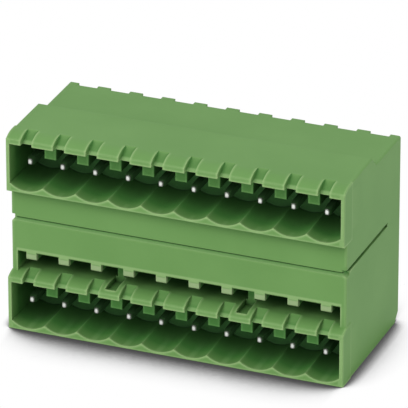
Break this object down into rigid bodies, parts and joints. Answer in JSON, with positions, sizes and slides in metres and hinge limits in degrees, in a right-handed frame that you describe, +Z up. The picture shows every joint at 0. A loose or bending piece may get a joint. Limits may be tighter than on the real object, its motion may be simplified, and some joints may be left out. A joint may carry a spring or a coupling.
{
  "type": "pluggable terminal block header",
  "caption": "Green two-level pin header for pluggable terminal blocks, with bent square pins that solder into a circuit board.",
  "frame": {"origin": "middle of the face that sits on the circuit board", "axes": "+X along the row of contacts, -Y towards the plug side, +Z up from the board"},
  "size_m": [0.052, 0.0236, 0.0347],
  "materials": {
    "housing": "satin, moulded",
    "contact": "tin plated, semi-bright"
  },
  "bodies": {
    "root": {"lower_housing": "housing", "upper_housing": "housing", "lower_contact_1": "contact", "lower_contact_2": "contact", "lower_contact_3": "contact", "lower_contact_4": "contact", "lower_contact_5": "contact", "lower_contact_6": "contact", "lower_contact_7": "contact", "lower_contact_8": "contact", "lower_contact_9": "contact", "lower_contact_10": "contact", "upper_contact_1": "contact", "upper_contact_2": "contact", "upper_contact_3": "contact", "upper_contact_4": "contact", "upper_contact_5": "contact", "upper_contact_6": "contact", "upper_contact_7": "contact", "upper_contact_8": "contact", "upper_contact_9": "contact", "upper_contact_10": "contact"}
  },
  "joints": []
}
